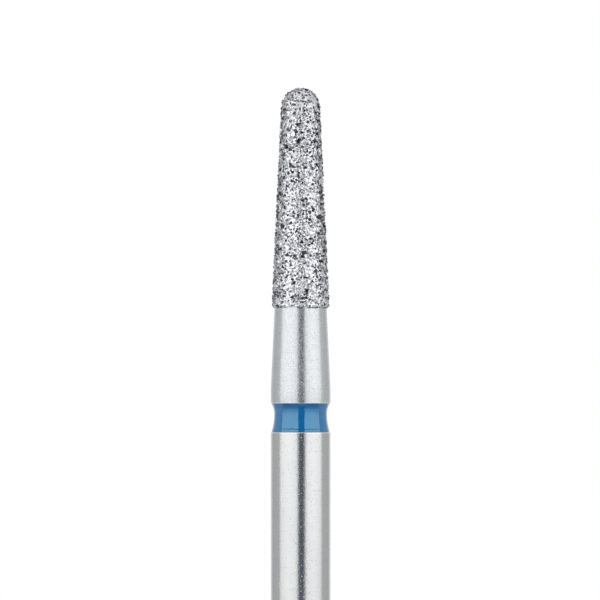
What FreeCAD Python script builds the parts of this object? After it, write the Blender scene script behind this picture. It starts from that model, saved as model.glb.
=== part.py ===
# A round-end tapered diamond bur for a friction-grip turbine handpiece, in millimetres.
# It stands on its shank: Z runs up the axis from the flat shank end to the tip of the head.
# Four pieces: the turned steel blank, the nickel bond plated on its head, the diamond grains
# that the bond holds, and the blue enamel ring in its groove.
import FreeCAD
import Part
import math
import os
import random
from FreeCAD import Vector

# Lengths along the axis
overall_length = 19.0
coated_length = 5.94
collar_length = 0.41
ring_width = 0.77

# Steel blank
shank_diameter = 1.60
shank_end_chamfer = 0.20
neck_inset = 0.10
taper_half_angle = 2.68
neck_blend_radius = 6.0
groove_depth = 0.18
groove_lip_chamfer = 0.02

# Enamel ring: its face dips to a waist that lies nearer to the upper lip
ring_waist_dip = 0.074
ring_waist_from_top = 0.28

# Nickel bond
bond_thickness = 0.05
bond_edge_round = 0.03

# Diamond grains of medium grit, thrown at random on the bond until few gaps are left
grain_size = 0.12
grain_smallest_share = 0.70
grain_stand_out = 0.045
grain_lowest_share = 0.55
grain_gap = 0.006
grain_throws = 7000
grain_seed = 16

# Shape of one grain
grain_corner_drift = 0.20
grain_top_drift = 0.22
blunt_top_share = 0.45
side_counts = (3, 4, 4)
blunt_one_in = 6

# Radii, and places along the axis, worked out from the sizes above
taper = math.radians(taper_half_angle)
shank_radius = shank_diameter / 2
groove_floor_radius = shank_radius - groove_depth
groove_lip_radius = shank_radius - groove_lip_chamfer
coat_edge_core_radius = shank_radius - neck_inset
coat_edge_z = overall_length - coated_length
neck_foot_z = coat_edge_z - neck_inset / math.tan(taper)
groove_top_z = neck_foot_z - collar_length
groove_foot_z = groove_top_z - ring_width
core_tip_z = overall_length - grain_stand_out - bond_thickness
axis_foot = Vector(0, 0, 0)
axis_up = Vector(0, 0, 1)


def point(radius, z):
    """A point of a half section, which lies in the XZ plane."""
    return Vector(radius, 0, z)


def bearing(angle):
    """A direction in a half section, in radians from outward up towards +Z."""
    return point(math.cos(angle), math.sin(angle))


def line(start, end):
    return Part.LineSegment(start, end).toShape()


def arc(centre, radius, start_angle, end_angle):
    angles = (start_angle, (start_angle + end_angle) / 2, end_angle)
    return Part.Arc(*[centre + bearing(angle) * radius for angle in angles]).toShape()


def turned(edges):
    """The solid that a closed half section sweeps about the axis."""
    return Part.Face(Part.Wire(edges)).revolve(axis_foot, axis_up, 360)


class HeadOutline:
    """The head's outline at one depth in the coating: a cone that ends in a tangent ball."""

    def __init__(self, depth):
        core_radius_at_tip = coat_edge_core_radius - (core_tip_z - coat_edge_z) * math.tan(taper)
        core_ball_radius = core_radius_at_tip * math.cos(taper) / (1 - math.sin(taper))
        self.edge_radius = coat_edge_core_radius + depth / math.cos(taper)
        self.ball_radius = core_ball_radius + depth
        self.ball_centre = point(0, core_tip_z - core_ball_radius)
        self.join = self.ball_centre + bearing(taper) * self.ball_radius
        self.tip = self.ball_centre + axis_up * self.ball_radius

    def radius_at(self, z):
        return self.edge_radius - (z - coat_edge_z) * math.tan(taper)

    def ball(self):
        return arc(self.ball_centre, self.ball_radius, taper, math.pi / 2)


def steel_blank():
    """Shank, ring groove, collar, neck and the head's core, turned from one rod."""
    core = HeadOutline(0)
    blend_start = point(shank_radius, neck_foot_z - neck_blend_radius * math.tan(taper / 2))
    blend_centre = blend_start - point(neck_blend_radius, 0)
    blend_end = blend_centre + bearing(taper) * neck_blend_radius
    corners = [
        point(0, 0),
        point(shank_radius - shank_end_chamfer, 0),
        point(shank_radius, shank_end_chamfer),
        point(shank_radius, groove_foot_z - groove_lip_chamfer),
        point(groove_lip_radius, groove_foot_z),
        point(groove_floor_radius, groove_foot_z),
        point(groove_floor_radius, groove_top_z),
        point(groove_lip_radius, groove_top_z),
        point(shank_radius, groove_top_z + groove_lip_chamfer),
        blend_start,
    ]
    edges = [line(start, end) for start, end in zip(corners, corners[1:])]
    edges += [
        arc(blend_centre, neck_blend_radius, 0, taper),
        line(blend_end, core.join),
        core.ball(),
        line(core.tip, corners[0]),
    ]
    return turned(edges)


def enamel_ring():
    """The colour band: it fills the groove and its face sags to a waist, as wet enamel sets."""
    waist = point(groove_lip_radius - ring_waist_dip, groove_top_z - ring_waist_from_top)

    def sagging(height):
        """The arc from the waist to a lip that lies this far from it along the axis."""
        radius = (height ** 2 + ring_waist_dip ** 2) / (2 * ring_waist_dip)
        lean = math.copysign(math.asin(abs(height) / radius), height)
        return arc(waist + point(radius, 0), radius, math.pi, math.pi - lean)

    return turned([
        line(point(groove_floor_radius, groove_foot_z), point(groove_floor_radius, groove_top_z)),
        line(point(groove_floor_radius, groove_top_z), point(groove_lip_radius, groove_top_z)),
        sagging(ring_waist_from_top),
        sagging(ring_waist_from_top - ring_width),
        line(point(groove_lip_radius, groove_foot_z), point(groove_floor_radius, groove_foot_z)),
    ])


def nickel_bond():
    """The plated cup round the head's core, with a rounded lower edge."""
    core = HeadOutline(0)
    face = HeadOutline(bond_thickness)
    # The edge's round touches the flat foot and the cone
    round_z = coat_edge_z + bond_edge_round
    round_centre = point(face.radius_at(round_z) - bond_edge_round / math.cos(taper), round_z)
    foot_inside = point(coat_edge_core_radius, coat_edge_z)
    return turned([
        line(foot_inside, point(round_centre.x, coat_edge_z)),
        arc(round_centre, bond_edge_round, -math.pi / 2, taper),
        line(round_centre + bearing(taper) * bond_edge_round, face.join),
        face.ball(),
        line(face.tip, core.tip),
        core.ball(),
        line(core.join, foot_inside),
    ])


class Seat:
    """A grain's place on the bond's face, and the directions there."""

    def __init__(self, radius, z, lean, turn, reach):
        ray = Vector(math.cos(turn), math.sin(turn), 0)
        self.place = ray * radius + axis_up * z
        self.outward = ray * math.cos(lean) + axis_up * math.sin(lean)
        self.sideways = Vector(-math.sin(turn), math.cos(turn), 0)
        self.upward = self.outward.cross(self.sideways)
        self.reach = reach

    def clear_of(self, other):
        return (self.place - other.place).Length > self.reach + other.reach + grain_gap


def thrown_seats(chance):
    """The tip's seat, and then seats at random, spread evenly over the bond's face."""
    face = HeadOutline(bond_thickness)
    first_z = coat_edge_z + bond_edge_round + grain_size / 2
    first_radius = face.radius_at(first_z)
    slant = (face.join.z - first_z) / math.cos(taper)
    cone_area = math.pi * (first_radius + face.join.x) * slant
    ball_area = 2 * math.pi * face.ball_radius ** 2 * (1 - math.sin(taper))
    yield Seat(0, face.tip.z, math.pi / 2, 0, grain_size / 2)
    for _ in range(grain_throws):
        area = chance.uniform(0, cone_area + ball_area)
        turn = chance.uniform(0, 2 * math.pi)
        reach = grain_size / 2 * chance.uniform(grain_smallest_share, 1)
        if area < cone_area:
            # The cone's radius where this much of its face lies below
            radius = math.sqrt(first_radius ** 2 - area * math.sin(taper) / math.pi)
            z = first_z + (first_radius - radius) / math.tan(taper)
            lean = taper
        else:
            share = (area - cone_area) / ball_area
            lean = math.asin(math.sin(taper) + share * (1 - math.sin(taper)))
            radius = face.ball_radius * math.cos(lean)
            z = face.ball_centre.z + face.ball_radius * math.sin(lean)
        yield Seat(radius, z, lean, turn, reach)


def grain_seats(chance):
    """The thrown seats that are clear of every seat taken before them."""
    layer_height = grain_size + grain_gap
    layers = {}
    taken = []
    for seat in thrown_seats(chance):
        layer = int(seat.place.z / layer_height)
        nearby = [other for k in (layer - 1, layer, layer + 1) for other in layers.get(k, [])]
        if all(seat.clear_of(other) for other in nearby):
            layers.setdefault(layer, []).append(seat)
            taken.append(seat)
    return taken


def grain(seat, chance, height, blunt):
    """The part of one crystal that stands out of the nickel: a point, or a blunt top."""
    sides = chance.choice(side_counts)
    first_turn = chance.uniform(0, 2 * math.pi)
    step = 2 * math.pi / sides
    turns = [
        first_turn + step * (side + chance.uniform(-grain_corner_drift, grain_corner_drift))
        for side in range(sides)
    ]
    drift = [chance.uniform(-grain_top_drift, grain_top_drift) * seat.reach for _ in range(2)]
    top = seat.place + seat.outward * height + seat.sideways * drift[0] + seat.upward * drift[1]
    arms = [
        (seat.sideways * math.cos(turn) + seat.upward * math.sin(turn)) * seat.reach
        for turn in turns
    ]
    foot = [seat.place + arm for arm in arms]
    faces = [foot]
    if blunt:
        crown = [top + arm * blunt_top_share for arm in arms]
        faces.append(crown)
        faces += [[foot[k - 1], foot[k], crown[k], crown[k - 1]] for k in range(sides)]
    else:
        faces += [[foot[k - 1], foot[k], top] for k in range(sides)]
    return Part.Solid(Part.Shell([Part.Face(Part.makePolygon(f + f[:1])) for f in faces]))


def diamond_grains():
    """Every grain of the head, each its own solid, seated on the bond."""
    chance = random.Random(grain_seed)
    grains = []
    for number, seat in enumerate(grain_seats(chance)):
        # The grain on the tip stands out in full, which makes the overall length
        height = grain_stand_out * (chance.uniform(grain_lowest_share, 1) if number else 1)
        grains.append(grain(seat, chance, height, number % blunt_one_in == 0))
    return Part.Compound(grains)


parts = {
    "steel_blank": steel_blank,
    "nickel_bond": nickel_bond,
    "diamond_grains": diamond_grains,
    "enamel_ring": enamel_ring,
}

os.makedirs("parts", exist_ok=True)
for name, make in parts.items():
    make().exportStep(os.path.join("parts", name + ".step"))
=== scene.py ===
# The looks of a round-end tapered diamond bur: ground steel, plated nickel, diamond grit and blue enamel.
import math
import random

import bmesh
import bpy
import numpy as np
from mathutils import Matrix, Vector, kdtree, noise


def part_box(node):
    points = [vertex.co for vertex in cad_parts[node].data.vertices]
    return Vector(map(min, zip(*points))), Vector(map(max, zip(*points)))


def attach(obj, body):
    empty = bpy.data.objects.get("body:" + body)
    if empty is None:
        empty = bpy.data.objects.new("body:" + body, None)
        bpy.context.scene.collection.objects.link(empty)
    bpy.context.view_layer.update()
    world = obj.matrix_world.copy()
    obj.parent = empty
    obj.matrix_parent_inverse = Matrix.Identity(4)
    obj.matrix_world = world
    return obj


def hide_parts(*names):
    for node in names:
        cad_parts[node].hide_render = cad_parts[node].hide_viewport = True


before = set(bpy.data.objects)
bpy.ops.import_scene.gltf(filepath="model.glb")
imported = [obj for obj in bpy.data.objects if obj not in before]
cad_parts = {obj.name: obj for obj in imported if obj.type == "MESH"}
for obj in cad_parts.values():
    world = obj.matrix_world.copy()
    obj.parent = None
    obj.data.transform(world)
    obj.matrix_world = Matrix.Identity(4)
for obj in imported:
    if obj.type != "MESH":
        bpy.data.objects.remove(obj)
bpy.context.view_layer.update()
MM = 0.001

# Places and radii that the frame gives
blank_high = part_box("steel_blank")[1]
ring_low, ring_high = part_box("enamel_ring")
bond_low, bond_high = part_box("nickel_bond")
grain_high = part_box("diamond_grains")[1]
shank_radius = blank_high.x
lip_radius = ring_high.x
groove_foot_z = ring_low.z
groove_top_z = ring_high.z
coat_edge_z = bond_low.z
core_tip_z = blank_high.z
bond_tip_z = bond_high.z
grain_tip_z = grain_high.z
bond_thickness = bond_tip_z - core_tip_z
grain_stand_out = grain_tip_z - bond_tip_z

# Sizes of the blank, the bond and the ring that their boxes don't give
taper = math.radians(2.68)
neck_inset = 0.10 * MM
neck_blend_radius = 6.0 * MM
groove_depth = 0.18 * MM
shank_end_round = 0.20 * MM
lip_round = 0.02 * MM
bond_edge_round = 0.03 * MM
waist_dip = 0.074 * MM
waist_from_top = 0.28 * MM
core_edge_radius = shank_radius - neck_inset
neck_foot_z = coat_edge_z - neck_inset / math.tan(taper)
groove_floor_radius = shank_radius - groove_depth

# How finely the turned pieces are cut
turns_steel = 256
turns_nickel = 280
arc_steps = 8
plating_step = 0.022 * MM
hidden_step = 0.4 * MM
sharp_angle = math.radians(35)
on_axis = 1e-9


def bearing(angle):
    """A direction in a half section of radius and height, in radians from outward towards +Z."""
    return np.array((math.cos(angle), math.sin(angle)))


def arc(centre, radius, start, end, steps=arc_steps):
    return [centre + bearing(a) * radius for a in np.linspace(start, end, steps + 1)]


def cut_into(points, length):
    """The same line with no step longer than this."""
    made = [points[0]]
    for start, end in zip(points, points[1:]):
        parts = max(1, math.ceil(np.linalg.norm(end - start) / length))
        made += [start + (end - start) * k / parts for k in range(1, parts + 1)]
    return made


def turned(name, section, turns, shift=None):
    """A closed mesh that a closed half section sweeps about Z. Points on the axis become one vertex.

    shift, if given, takes an array of points and returns where they go."""
    section = [np.array(p, float) for p in section]
    rows, points = [], []
    angles = np.arange(turns) * 2 * math.pi / turns
    for radius, z in section:
        if radius < on_axis:
            rows.append([len(points)])
            points.append((0.0, 0.0, z))
        else:
            rows.append(list(range(len(points), len(points) + turns)))
            points += [(radius * math.cos(a), radius * math.sin(a), z) for a in angles]
    faces = []
    for low, high in zip(rows, rows[1:] + rows[:1]):
        if len(low) == 1 and len(high) == 1:
            continue
        for k in range(turns):
            n = (k + 1) % turns
            if len(low) == 1:
                faces.append((low[0], high[n], high[k]))
            elif len(high) == 1:
                faces.append((low[k], low[n], high[0]))
            else:
                faces.append((low[k], low[n], high[n], high[k]))
    points = np.array(points)
    if shift is not None:
        points = shift(points)
    return piece_of(name, points, faces, smooth=True)


def piece_of(name, points, faces, smooth):
    mesh = bpy.data.meshes.new(name)
    mesh.from_pydata([tuple(p) for p in points], [], faces)
    mesh.polygons.foreach_set("use_smooth", [smooth] * len(mesh.polygons))
    if smooth:
        mesh.set_sharp_from_angle(angle=sharp_angle)
    mesh.update()
    piece = bpy.data.objects.new(name, mesh)
    bpy.context.scene.collection.objects.link(piece)
    return piece


def dressed(piece, node, material):
    piece.data.materials.append(material)
    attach(piece, "root")
    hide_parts(node)


class Head:
    """The head's outline at one depth in the coating: a cone that ends in a tangent ball."""

    def __init__(self, depth):
        tip_radius = core_edge_radius - (core_tip_z - coat_edge_z) * math.tan(taper)
        core_ball = tip_radius * math.cos(taper) / (1 - math.sin(taper))
        self.edge_radius = core_edge_radius + depth / math.cos(taper)
        self.ball_radius = core_ball + depth
        self.centre = np.array((0.0, core_tip_z - core_ball))
        self.join = self.centre + bearing(taper) * self.ball_radius

    def radius_at(self, z):
        return self.edge_radius - (z - coat_edge_z) * math.tan(taper)

    def ball(self):
        points = arc(self.centre, self.ball_radius, taper, math.pi / 2, arc_steps * 4)
        points[-1][0] = 0.0
        return points


# Materials
def new_material(name):
    material = bpy.data.materials.new(name)
    material.use_nodes = True
    tree = material.node_tree
    return material, tree, tree.nodes["Principled BSDF"]


def add(tree, kind, **values):
    """A node with these sockets or settings."""
    node = tree.nodes.new(kind)
    for key, value in values.items():
        if key in node.inputs:
            node.inputs[key].default_value = value
        else:
            setattr(node, key, value)
    return node


def spots(tree, size, stretch=(1, 1, 1), detail=2.0):
    """Noise over the object's own coordinates, with features of about this size."""
    place = add(tree, "ShaderNodeTexCoord")
    scale = add(tree, "ShaderNodeMapping")
    scale.inputs["Scale"].default_value = stretch
    made = add(tree, "ShaderNodeTexNoise", Scale=1 / size, Detail=detail)
    tree.links.new(place.outputs["Object"], scale.inputs["Vector"])
    tree.links.new(scale.outputs["Vector"], made.inputs["Vector"])
    return made.outputs["Fac"]


def spread(tree, value, low, high, start=0.3, end=0.7):
    """The value mapped on to a range of numbers."""
    node = tree.nodes.new("ShaderNodeMapRange")
    for key, number in (("From Min", start), ("From Max", end), ("To Min", low), ("To Max", high)):
        node.inputs[key].default_value = number
    tree.links.new(value, node.inputs["Value"])
    return node.outputs["Result"]


def tinted(tree, value, low, high, start=0.3, end=0.7):
    """The value mapped on to a range of colours."""
    ramp = tree.nodes.new("ShaderNodeValToRGB")
    ramp.color_ramp.elements[0].position = start
    ramp.color_ramp.elements[1].position = end
    ramp.color_ramp.elements[0].color = (*low, 1)
    ramp.color_ramp.elements[1].color = (*high, 1)
    tree.links.new(value, ramp.inputs["Fac"])
    return ramp.outputs["Color"]


def along_axis(tree, low_z, high_z, low, high):
    """A number that goes from low to high between two heights on the bur."""
    place = tree.nodes.new("ShaderNodeTexCoord")
    split = tree.nodes.new("ShaderNodeSeparateXYZ")
    tree.links.new(place.outputs["Object"], split.inputs["Vector"])
    return spread(tree, split.outputs["Z"], low, high, low_z, high_z)


def shank_to_neck(tree, on_shank, on_neck):
    """A number that is one thing below the ring and another above it."""
    return along_axis(tree, groove_foot_z, groove_top_z, on_shank, on_neck)


def worked(tree, operation, *values):
    """A sum, product or the like of sockets and numbers."""
    node = add(tree, "ShaderNodeMath", operation=operation)
    for socket, value in zip(node.inputs, values):
        if isinstance(value, (int, float)):
            socket.default_value = value
        else:
            tree.links.new(value, socket)
    return node.outputs["Value"]


def mixed(tree, share, low, high):
    """Two colours, or sockets of them, mixed by a share."""
    node = add(tree, "ShaderNodeMix", data_type="RGBA")
    tree.links.new(share, node.inputs["Factor"])
    for socket, value in zip((s for s in node.inputs if s.type == "RGBA"), (low, high)):
        if isinstance(value, tuple):
            socket.default_value = (*value, 1)
        else:
            tree.links.new(value, socket)
    return next(s for s in node.outputs if s.type == "RGBA")


def round_spots(tree, pitch, radius, share):
    """A value that is 1 in the middle of round spots and 0 between them. This share of the cells has one."""
    place = tree.nodes.new("ShaderNodeTexCoord")
    cells = add(tree, "ShaderNodeTexVoronoi", Scale=1 / pitch)
    tree.links.new(place.outputs["Object"], cells.inputs["Vector"])
    split = tree.nodes.new("ShaderNodeSeparateColor")
    tree.links.new(cells.outputs["Color"], split.inputs["Color"])
    away = spread(tree, cells.outputs["Distance"], 0.0, 1.0, 0.0, radius / pitch)
    bare = worked(tree, "GREATER_THAN", split.outputs["Red"], share)
    return worked(tree, "SUBTRACT", 1.0, worked(tree, "MAXIMUM", away, bare))


def relief(tree, height, depth, under=None):
    """A bump of this depth in metres, on top of another."""
    bump = add(tree, "ShaderNodeBump", Strength=1.0, Distance=depth)
    tree.links.new(height, bump.inputs["Height"])
    if under is not None:
        tree.links.new(under, bump.inputs["Normal"])
    return bump.outputs["Normal"]


def ground_steel():
    """Stainless steel ground round the axis, more coarsely on the neck. The groove's lips have a painted
    highlight: a lighter base colour.
    """
    material, tree, shader = new_material("ground_steel")
    shader.inputs["Metallic"].default_value = 1.0
    stains = tinted(tree, spots(tree, 0.6 * MM, detail=4.0), (0.545, 0.555, 0.56), (0.575, 0.58, 0.58))
    ground = mixed(tree, shank_to_neck(tree, 0.0, 1.0), stains, (0.598, 0.617, 0.630))
    rings = spots(tree, 0.05 * MM, stretch=(0.10, 0.10, 1.6), detail=3.0)
    scored = spread(tree, rings, 0.0, 0.18, 0.55, 0.8)
    scored = worked(tree, "MULTIPLY", scored, shank_to_neck(tree, 0.25, 1.0))
    ground = mixed(tree, scored, ground, (0.30, 0.31, 0.32))
    specks = spread(tree, spots(tree, 0.04 * MM), 0.0, 0.14, 0.45, 0.75)
    ground = mixed(tree, specks, ground, (0.32, 0.33, 0.33))
    # Painted highlight: a lighter base colour on the steel just above and below the groove
    above = along_axis(tree, groove_top_z + 0.02 * MM, groove_top_z + 0.04 * MM, 1.0, 0.0)
    below = along_axis(tree, groove_foot_z - 0.04 * MM, groove_foot_z - 0.02 * MM, 0.0, 1.0)
    painted_lip_highlight = worked(tree, "MINIMUM", above, below)
    tree.links.new(mixed(tree, painted_lip_highlight, ground, (0.74, 0.75, 0.76)), shader.inputs["Base Color"])
    # Round dull spots on all the steel, and a fine mottling on the neck
    rough = shank_to_neck(tree, 0.20, 0.19)
    dull = round_spots(tree, 0.07 * MM, 0.024 * MM, 0.45)
    dull = worked(tree, "MULTIPLY", dull, shank_to_neck(tree, 0.5, 0.35))
    mottled = spread(tree, spots(tree, 0.016 * MM, detail=0.0), 0.0, 0.27, 0.45, 0.60)
    mottled = worked(tree, "MULTIPLY", mottled, shank_to_neck(tree, 0.1, 1.0))
    rough = worked(tree, "ADD", worked(tree, "ADD", rough, dull), mottled)
    tree.links.new(rough, shader.inputs["Roughness"])
    skin = relief(tree, spots(tree, 0.030 * MM, detail=1.0), 0.0016 * MM)
    skin = relief(tree, rings, 0.0015 * MM, skin)
    tree.links.new(skin, shader.inputs["Normal"])
    return material


def plated_nickel():
    """Bright electroplated nickel that wraps the grains. Its lower rim has a painted shade: a dark base
    colour.
    """
    material, tree, shader = new_material("plated_nickel")
    shader.inputs["Metallic"].default_value = 1.0
    plate = tinted(tree, spots(tree, 0.05 * MM), (0.40, 0.41, 0.44), (0.97, 0.98, 0.985), 0.35, 0.65)
    # Painted shade: a dark base colour along the coating's lower rim
    painted_rim_shade = along_axis(tree, coat_edge_z + 0.02 * MM, coat_edge_z + 0.05 * MM, 1.0, 0.0)
    tree.links.new(mixed(tree, painted_rim_shade, plate, (0.12, 0.12, 0.13)), shader.inputs["Base Color"])
    tree.links.new(spread(tree, spots(tree, 0.04 * MM), 0.14, 0.26), shader.inputs["Roughness"])
    tree.links.new(relief(tree, spots(tree, 0.065 * MM, detail=3.0), 0.024 * MM), shader.inputs["Normal"])
    return material


def blue_enamel():
    """Glossy enamel, a little cloudy, with a soft ripple from setting, and a painted shade under the upper
    lip: a darker base colour there.
    """
    material, tree, shader = new_material("blue_enamel")
    cloudy = tinted(tree, spots(tree, 0.12 * MM), (0.0003, 0.112, 0.322), (0.0006, 0.128, 0.362))
    # Painted shade: a darker base colour on the enamel under the upper lip
    painted_lip_shade = along_axis(tree, groove_top_z - 0.16 * MM, groove_top_z - 0.04 * MM, 0.0, 1.0)
    tree.links.new(mixed(tree, painted_lip_shade, cloudy, (0.0005, 0.060, 0.21)), shader.inputs["Base Color"])
    shader.inputs["Roughness"].default_value = 0.04
    shader.inputs["IOR"].default_value = 2.1
    shader.inputs["Specular Tint"].default_value = (0.62, 1.0, 1.0, 1.0)
    tree.links.new(relief(tree, spots(tree, 0.25 * MM), 0.003 * MM), shader.inputs["Normal"])
    return material


def diamond(name, dark, pale):
    """Diamond grit: each facet throws back its own share of light, which the mesh holds as its tone."""
    material, tree, shader = new_material(name)
    tone = add(tree, "ShaderNodeAttribute", attribute_name="tone")
    tree.links.new(tinted(tree, tone.outputs["Fac"], dark, pale, 0.0, 1.0), shader.inputs["Base Color"])
    shader.inputs["Roughness"].default_value = 0.12
    shader.inputs["Metallic"].default_value = 0.9
    shader.inputs["IOR"].default_value = 2.42
    return material


# The steel blank and its ring
groove_floor = [np.array((groove_floor_radius, groove_top_z)), np.array((groove_floor_radius, groove_foot_z))]


def rounded(z, size, upper):
    """A quarter round of the shank's outline, at the upper or the lower end of a cylinder."""
    start = 0.0 if upper else -math.pi / 2
    centre = np.array((shank_radius - size, z - size if upper else z + size))
    return arc(centre, size, start, start + math.pi / 2)


def steel_blank():
    core = Head(0)
    blend_start = np.array((shank_radius, neck_foot_z - neck_blend_radius * math.tan(taper / 2)))
    blend_centre = blend_start - (neck_blend_radius, 0)
    section = [np.array((0.0, 0.0))]
    section += rounded(0.0, shank_end_round, upper=False)
    section += rounded(groove_foot_z, lip_round, upper=True)
    section += groove_floor[::-1]
    section += rounded(groove_top_z, lip_round, upper=False)
    section += arc(blend_centre, neck_blend_radius, 0, taper)
    section += core.ball()
    return turned("steel_shank_and_neck", section, turns_steel)


def enamel_ring():
    waist = np.array((lip_radius - waist_dip, groove_top_z - waist_from_top))

    def sagging(height):
        """The arc from the waist to a lip that lies this far above it."""
        radius = (height ** 2 + waist_dip ** 2) / (2 * waist_dip)
        lean = math.copysign(math.asin(abs(height) / radius), height)
        return arc(waist + (radius, 0), radius, math.pi, math.pi - lean, arc_steps * 2)

    section = groove_floor + sagging(groove_foot_z - waist[1])[::-1] + sagging(waist_from_top)[1:]
    return turned("blue_enamel_ring", section, turns_steel)


# The diamond head. A grain's reach, at the first throw and at the last, keeps its neighbours off
grain_seed = 16
grain_throws = 40000
grain_reach = (0.056 * MM, 0.021 * MM)
grain_fining = 0.35
lowest_seat = 0.035 * MM
shapes_of_grain = 48
flat_angle = math.radians(7)

# The coating's ragged lower rim: how high its waves are, how many, and how far up the plating feels them
rim_waver = 0.05 * MM
rim_waves = 7
rim_reach = 0.15 * MM

# The plating climbs up each grain, and is lumpy between them
climb_height = 0.016 * MM
climb_reach = 0.045 * MM
lump_height = 0.006 * MM
lump_size = 0.09 * MM

# Rings of corners on a grain: how many, how far out, how high, and how far each strays up or down
crystal_rings = ((3, 0.62, 0.0, 0.10), (4, 1.0, -0.55, 0.22), (3, 0.55, -1.20, 0.20))

# A grain's size over its reach, its width over its size, its tilt in degrees, and the share that stands out
grain_growth = (1.15, 1.75)
grain_width = (0.7, 1.2)
grain_tilt = 11
lowest_top = 0.20
top_spread = 0.79

# How light a facet is, from 0 to 1: the mean, and how far a patch, a grain and a facet stray from it
mean_tone = 0.38
patch_tone = 1.3
grain_tone = 0.6
facet_tone = 0.6
patch_size = 0.16 * MM

# Each tint's dark and light facets, and its share of the grains
tints = {
    "diamond_grit_clear": ((0.035, 0.038, 0.048), (0.84, 0.85, 0.855), 0.50),
    "diamond_grit_grey": ((0.032, 0.032, 0.054), (0.40, 0.405, 0.48), 0.42),
    "diamond_grit_straw": ((0.05, 0.05, 0.04), (0.67, 0.66, 0.61), 0.08),
}


def crystal(chance):
    """A worn crystal with its table up at height 0: the hull of its rings of corners, about 1 in radius."""
    made = bmesh.new()
    for count, reach, height, drift in crystal_rings:
        first = chance.uniform(0, 2 * math.pi)
        for k in range(chance.choice((count - 1, count, count + 1))):
            turn = first + 2 * math.pi * (k + chance.uniform(-0.28, 0.28)) / count
            away = reach * chance.uniform(0.65, 1.2)
            top = height + chance.uniform(-drift, drift)
            made.verts.new((away * math.cos(turn), away * math.sin(turn), top))
    bmesh.ops.convex_hull(made, input=made.verts)
    for v in [v for v in made.verts if not v.link_faces]:
        made.verts.remove(v)
    bmesh.ops.dissolve_limit(made, angle_limit=flat_angle, verts=made.verts, edges=made.edges)
    bmesh.ops.recalc_face_normals(made, faces=made.faces)
    made.verts.ensure_lookup_table()
    corners = np.array([v.co[:] for v in made.verts])
    faces = [[v.index for v in f.verts] for f in made.faces]
    made.free()
    return corners, faces


def rim_height(turn):
    """How far the coating's ragged lower rim lies above its lowest point, at this bearing."""
    wave = noise.noise(Vector((math.cos(turn), math.sin(turn), 0)) * rim_waves)
    return rim_waver * min(1.0, max(0.0, 0.5 + wave))


def seats(chance):
    """Random places on the bond's face, none too near another: (place, outward, reach)."""
    face = Head(bond_thickness)
    first_z = coat_edge_z + lowest_seat
    first_radius = face.radius_at(first_z)
    cone = math.pi * (first_radius + face.join[0]) * (face.join[1] - first_z) / math.cos(taper)
    ball = 2 * math.pi * face.ball_radius ** 2 * (1 - math.sin(taper))
    layers, taken = {}, []
    for throw in range(grain_throws):
        # The coarse grains are thrown first, and ever finer ones fill the gaps
        fineness = (throw / grain_throws) ** grain_fining
        reach = grain_reach[0] + (grain_reach[1] - grain_reach[0]) * fineness
        area = chance.uniform(0, cone + ball)
        turn = chance.uniform(0, 2 * math.pi)
        if area < cone:
            radius = math.sqrt(first_radius ** 2 - area * math.sin(taper) / math.pi)
            z = first_z + (first_radius - radius) / math.tan(taper)
            lean = taper
        else:
            lean = math.asin(math.sin(taper) + (area - cone) / ball * (1 - math.sin(taper)))
            radius = face.ball_radius * math.cos(lean)
            z = face.centre[1] + face.ball_radius * math.sin(lean)
        if z < first_z + rim_height(turn):
            continue
        ray = Vector((math.cos(turn), math.sin(turn), 0))
        place = ray * radius + Vector((0, 0, z))
        layer = int(z / (2 * grain_reach[0]))
        near = [other for k in (layer - 1, layer, layer + 1) for other in layers.get(k, ())]
        if all((place - other).length > reach + other_reach for other, other_reach in near):
            layers.setdefault(layer, []).append((place, reach))
            taken.append((place, ray * math.cos(lean) + Vector((0, 0, math.sin(lean))), reach))
    return taken


def grit():
    """Makes the grains as three pieces, by tint, and returns the places of them all."""
    chance = random.Random(grain_seed)
    shapes = [crystal(chance) for _ in range(shapes_of_grain)]
    names = list(tints)
    weights = [tints[n][2] for n in names]
    parts = {n: ([], [], []) for n in names}
    places = []
    for place, outward, reach in seats(chance):
        corners, faces = chance.choice(shapes)
        points, found, tones = parts[chance.choices(names, weights)[0]]
        size = reach * chance.uniform(*grain_growth)
        scaled = corners * size * np.array([chance.uniform(*grain_width), chance.uniform(*grain_width), 1.0])
        tilt = Matrix.Rotation(math.radians(chance.gauss(0, grain_tilt)), 3, "X")
        turn = Matrix.Rotation(chance.uniform(0, 2 * math.pi), 3, "Z")
        stand = outward.to_track_quat("Z", "Y").to_matrix()
        local = scaled @ np.array(stand @ turn @ tilt).T
        # The highest corner stands out of the bond by this much
        height = grain_stand_out * (lowest_top + top_spread * chance.betavariate(1.0, 0.8))
        up = np.array(outward)
        top = (local @ up).max()
        local = local + np.array(place) + up * (height - top)
        start = len(points)
        points.extend(local)
        found.extend([start + k for k in f] for f in faces)
        # Light and dark grains gather in patches, and the facets of one grain differ
        own = mean_tone + patch_tone * noise.noise(place / patch_size)
        own += chance.uniform(-grain_tone, grain_tone)
        tones.extend(min(1.0, max(0.0, own + chance.uniform(-facet_tone, facet_tone))) for _ in faces)
        places.append(place)
    for name in names:
        points, found, tones = parts[name]
        piece = piece_of(name, points, found, smooth=False)
        layer = piece.data.attributes.new("tone", "FLOAT", "FACE")
        layer.data.foreach_set("value", tones)
        dark, pale, _ = tints[name]
        dressed(piece, "diamond_grains", diamond(name, dark, pale))
    return places


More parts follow.
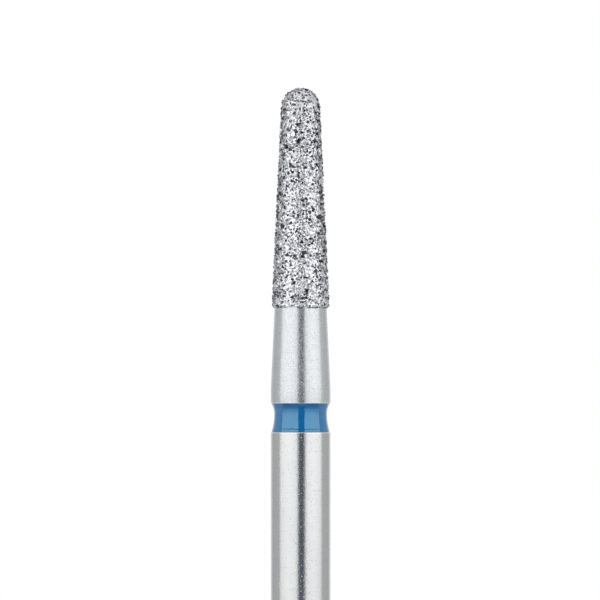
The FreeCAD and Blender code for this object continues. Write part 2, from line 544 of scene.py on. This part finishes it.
def nickel_bond(places):
    """The plating: uneven, drawn up a little round each grain, with a ragged lower edge."""
    tree = kdtree.KDTree(len(places))
    for k, p in enumerate(places):
        tree.insert(p, k)
    tree.balance()
    core = Head(0)
    face = Head(bond_thickness)
    edge_z = coat_edge_z + bond_edge_round
    edge_centre = np.array((face.radius_at(edge_z) - bond_edge_round / math.cos(taper), edge_z))
    edge = arc(edge_centre, bond_edge_round, -math.pi / 2, taper)
    outer = edge[:-1] + cut_into([edge[-1], face.join], plating_step) + face.ball()[1:]
    core_foot = np.array((core_edge_radius, coat_edge_z))
    inner = core.ball()[::-1] + cut_into([core.join, core_foot], hidden_step)[1:]

    def lumpy(points):
        moved = []
        for p in points:
            place = Vector(p)
            radius = math.hypot(p[0], p[1])
            on_cone = radius > core.radius_at(p[2]) + 0.6 * bond_thickness
            on_ball = p[2] > core_tip_z + 0.5 * bond_thickness
            if (on_cone or on_ball) and p[2] > coat_edge_z + 0.2 * bond_edge_round:
                axis = Vector((0, 0, min(max(p[2], coat_edge_z), face.centre[1])))
                out = (place - axis).normalized()
                away = tree.find(place)[2]
                climb = climb_height * math.exp(-(away / climb_reach) ** 2)
                lump = lump_height * noise.noise(place / lump_size)
                place = place + out * (climb + lump - lump_height)
            rise = max(0.0, 1 - (p[2] - coat_edge_z) / rim_reach) * rim_height(math.atan2(p[1], p[0]))
            moved.append(place + Vector((0, 0, rise)))
        return np.array(moved)

    return turned("nickel_plating", outer + inner, turns_nickel, lumpy)


dressed(steel_blank(), "steel_blank", ground_steel())
dressed(enamel_ring(), "enamel_ring", blue_enamel())
grit_places = grit()
dressed(nickel_bond(grit_places), "nickel_bond", plated_nickel())

# Camera: level, far off, with the lower shank out of the picture as in the photograph, in its pixels
photo_scale = 37.28 / MM
photo_size = 600
photo_axis_x = 300.6
photo_tip_y = 87
view_distance = 0.40
view_width = photo_size / photo_scale
view_centre_z = grain_tip_z - (photo_size / 2 - photo_tip_y) / photo_scale
camera = bpy.data.objects.new("camera", bpy.data.cameras.new("camera"))
bpy.context.scene.collection.objects.link(camera)
camera.data.sensor_width = 36
camera.data.lens = camera.data.sensor_width * view_distance / view_width
camera.data.clip_start = 0.01
camera.data.clip_end = 5
camera.location = ((photo_size / 2 - photo_axis_x) / photo_scale, -view_distance, view_centre_z)
camera.rotation_euler = (math.pi / 2, 0, 0)
bpy.context.scene.camera = camera

# Light: two softboxes in front with a gap between them for the camera, and cards all round
light_centre = Vector((0, 0, view_centre_z))
softbox_distance = 0.2
card_distance = 0.38
patch_steps = 12
corner_reach = 0.7


def direction(azimuth, elevation):
    """Azimuth 0 is towards the camera and positive to its right, in degrees."""
    a, e = math.radians(azimuth), math.radians(elevation)
    return Vector((math.sin(a) * math.cos(e), -math.cos(a) * math.cos(e), math.sin(e)))


def level_in_bur(azimuth, elevation):
    """The elevation at this azimuth of an edge that the bur reflects as a level line."""
    return math.degrees(math.asin(math.sin(math.radians(elevation)) * math.cos(math.radians(azimuth) / 2)))


def glowing(name, colour):
    """A material that only gives light, by the share of it that the mesh holds."""
    material = bpy.data.materials.new(name)
    material.use_nodes = True
    tree = material.node_tree
    tree.nodes.clear()
    out = tree.nodes.new("ShaderNodeOutputMaterial")
    shader = add(tree, "ShaderNodeEmission", Color=(*colour, 1))
    share = add(tree, "ShaderNodeAttribute", attribute_name="share")
    tree.links.new(share.outputs["Fac"], shader.inputs["Strength"])
    tree.links.new(shader.outputs["Emission"], out.inputs["Surface"])
    return material


def patch(name, distance, azimuths, low_edge, high_edge, colour, level=False, rise=(1.0,), edge_share=1.0):
    """Part of a sphere round the bur that gives light. Each edge is a few elevations, evenly spread.

    rise is how the light goes from the low edge to the high one, also evenly spread. It falls off
    towards all the edges too, down to edge_share of that in the middle."""
    points, faces, shares = [], [], []
    sides = (azimuths, low_edge, high_edge)
    for k in range(patch_steps + 1):
        u = k / patch_steps
        azimuth, low, high = (np.interp(u, np.linspace(0, 1, len(side)), side) for side in sides)
        if level:
            low, high = level_in_bur(azimuth, low), level_in_bur(azimuth, high)
        for m in range(patch_steps + 1):
            v = m / patch_steps
            points.append(light_centre + direction(azimuth, low + (high - low) * v) * distance)
            fall = 1 - (1 - edge_share) * min(1.0, math.hypot(u - 0.5, v - 0.5) / corner_reach)
            shares.append(fall * np.interp(v, np.linspace(0, 1, len(rise)), rise))
    for k in range(patch_steps):
        for m in range(patch_steps):
            first = k * (patch_steps + 1) + m
            faces.append((first, first + 1, first + patch_steps + 2, first + patch_steps + 1))
    made = piece_of(name, points, faces, smooth=False)
    made.data.attributes.new("share", "FLOAT", "POINT").data.foreach_set("value", shares)
    made.data.materials.append(glowing(name, colour))
    made.visible_camera = False
    made.visible_shadow = False
    return made


def softbox(name, azimuths, low_edge, high_edge):
    colour = (soft_level,) * 3
    patch(name, softbox_distance, azimuths, low_edge, high_edge, colour, True, soft_rise, soft_edge_share)


def card(name, azimuths, low_edge, high_edge, colour, level=False, rise=(1.0,), distance=card_distance):
    """A patch that only shows in reflections."""
    made = patch(name, distance, azimuths, low_edge, high_edge, colour, level, rise)
    made.data.materials[0].cycles.emission_sampling = "NONE"
    made.visible_diffuse = False


soft_level = 1.65
soft_edge_share = 0.845
soft_rise = (0.55, 0.62, 0.85, 1.0, 1.08, 1.15)
above_rise = (1.9, 1.0, 1.0, 1.0, 1.0)
below_rise = (0.8, 0.5, 0.36, 0.46, 0.54)
behind = 1.05 * card_distance
far_behind = 1.1 * card_distance
dark_grey = (0.075, 0.09, 0.12)
green_grey = (0.635, 0.65, 0.635)
violet_grey = (0.60, 0.60, 0.64)
edge_grey = (0.52, 0.54, 0.53)
back_grey = (0.30, 0.31, 0.33)
low_grey = (0.70, 0.71, 0.72)
below_grey = (0.96, 0.99, 1.04)
under_grey = (0.58, 0.59, 0.62)
pale = (0.95, 0.95, 0.95)
softbox("softbox_left", (-87, -10.4), (-26, -29, -30, -30), (26.4, 26.4))
softbox("softbox_right", (17.6, 89), (-32, -31, -28, -20), (26.4, 26.4))
card("card_above_left", (-88, -10.4), (28.6, 28.6), (86, 86), pale, True, above_rise)
card("card_above_right", (17.6, 89), (28.6, 28.6), (86, 86), pale, True, above_rise)
card("card_by_camera", (-14, 21), (-42, -42), (36, 36), dark_grey, distance=behind)
card("card_between", (-88, 88), (20, 20), (36, 36), dark_grey, distance=behind)
card("card_below", (-180, 180), (-64, -64), (-20, -20), below_grey, rise=below_rise, distance=far_behind)
card("card_under", (-180, 180), (-90, -90), (-64, -64), under_grey, distance=far_behind)
card("card_low_behind", (92, 268), (-62, -62), (-20, -20), low_grey)
card("card_floor_left", (-80, -14), (-90, -90), (-59, -59), pale)
card("card_floor_right", (21, 80), (-90, -90), (-59, -59), pale)

# The cards round the back, by the azimuths that each spans
round_the_back = {
    "card_edge_left": ((-94, -87.5), edge_grey),
    "card_edge_right": ((89, 95), edge_grey),
    "card_beside_left": ((-120, -94), green_grey),
    "card_beside_right": ((95, 120), green_grey),
    "card_behind_left": ((-145, -120), violet_grey),
    "card_behind_right": ((120, 145), violet_grey),
    "card_back_left": ((-172, -145), pale),
    "card_back_right": ((145, 172), pale),
    "card_back": ((172, 188), back_grey),
}
for name, (azimuths, colour) in round_the_back.items():
    card(name, azimuths, (-42, -42), (50, 50), colour)

# Floor and world
floor_radius = 0.12
floor_drop = 0.01 * MM
floor_steps = 96
floor_lift = 0.24
world_light = 0.65


def floor():
    """A pale disc under the bur. The camera sees it lighter than it is lit, and through it from below."""
    turns = [2 * math.pi * k / floor_steps for k in range(floor_steps)]
    points = [(floor_radius * math.cos(turn), floor_radius * math.sin(turn), -floor_drop) for turn in turns]
    made = piece_of("floor", points, [tuple(range(floor_steps))], smooth=False)
    material, tree, shader = new_material("pale_floor")
    cloudy = tinted(tree, spots(tree, 0.02), (0.92, 0.92, 0.92), (0.95, 0.95, 0.95))
    tree.links.new(cloudy, shader.inputs["Base Color"])
    shader.inputs["Roughness"].default_value = 0.8
    shader.inputs["Emission Color"].default_value = (1, 1, 1, 1)
    to_camera = add(tree, "ShaderNodeLightPath").outputs["Is Camera Ray"]
    tree.links.new(worked(tree, "MULTIPLY", to_camera, floor_lift), shader.inputs["Emission Strength"])
    from_below = add(tree, "ShaderNodeNewGeometry").outputs["Backfacing"]
    seen = tree.nodes.new("ShaderNodeMixShader")
    clear = tree.nodes.new("ShaderNodeBsdfTransparent")
    tree.links.new(from_below, seen.inputs["Fac"])
    tree.links.new(shader.outputs["BSDF"], seen.inputs[1])
    tree.links.new(clear.outputs["BSDF"], seen.inputs[2])
    tree.links.new(seen.outputs["Shader"], tree.nodes["Material Output"].inputs["Surface"])
    made.data.materials.append(material)
    made.visible_glossy = False
    made.visible_shadow = False


def white_room():
    """A world that is white to the camera, in gloss and through glass, and a little dimmer as a light."""
    world = bpy.data.worlds.new("white_room")
    bpy.context.scene.world = world
    world.use_nodes = True
    tree = world.node_tree
    path = tree.nodes.new("ShaderNodeLightPath")
    seen = worked(tree, "MAXIMUM", path.outputs["Is Camera Ray"], path.outputs["Is Glossy Ray"])
    seen = worked(tree, "MAXIMUM", seen, path.outputs["Is Transmission Ray"])
    background = tree.nodes["Background"]
    background.inputs["Color"].default_value = (1, 1, 1, 1)
    tree.links.new(spread(tree, seen, world_light, 1.0, 0.0, 1.0), background.inputs["Strength"])


floor()
white_room()

bpy.context.scene.view_settings.view_transform = "Standard"
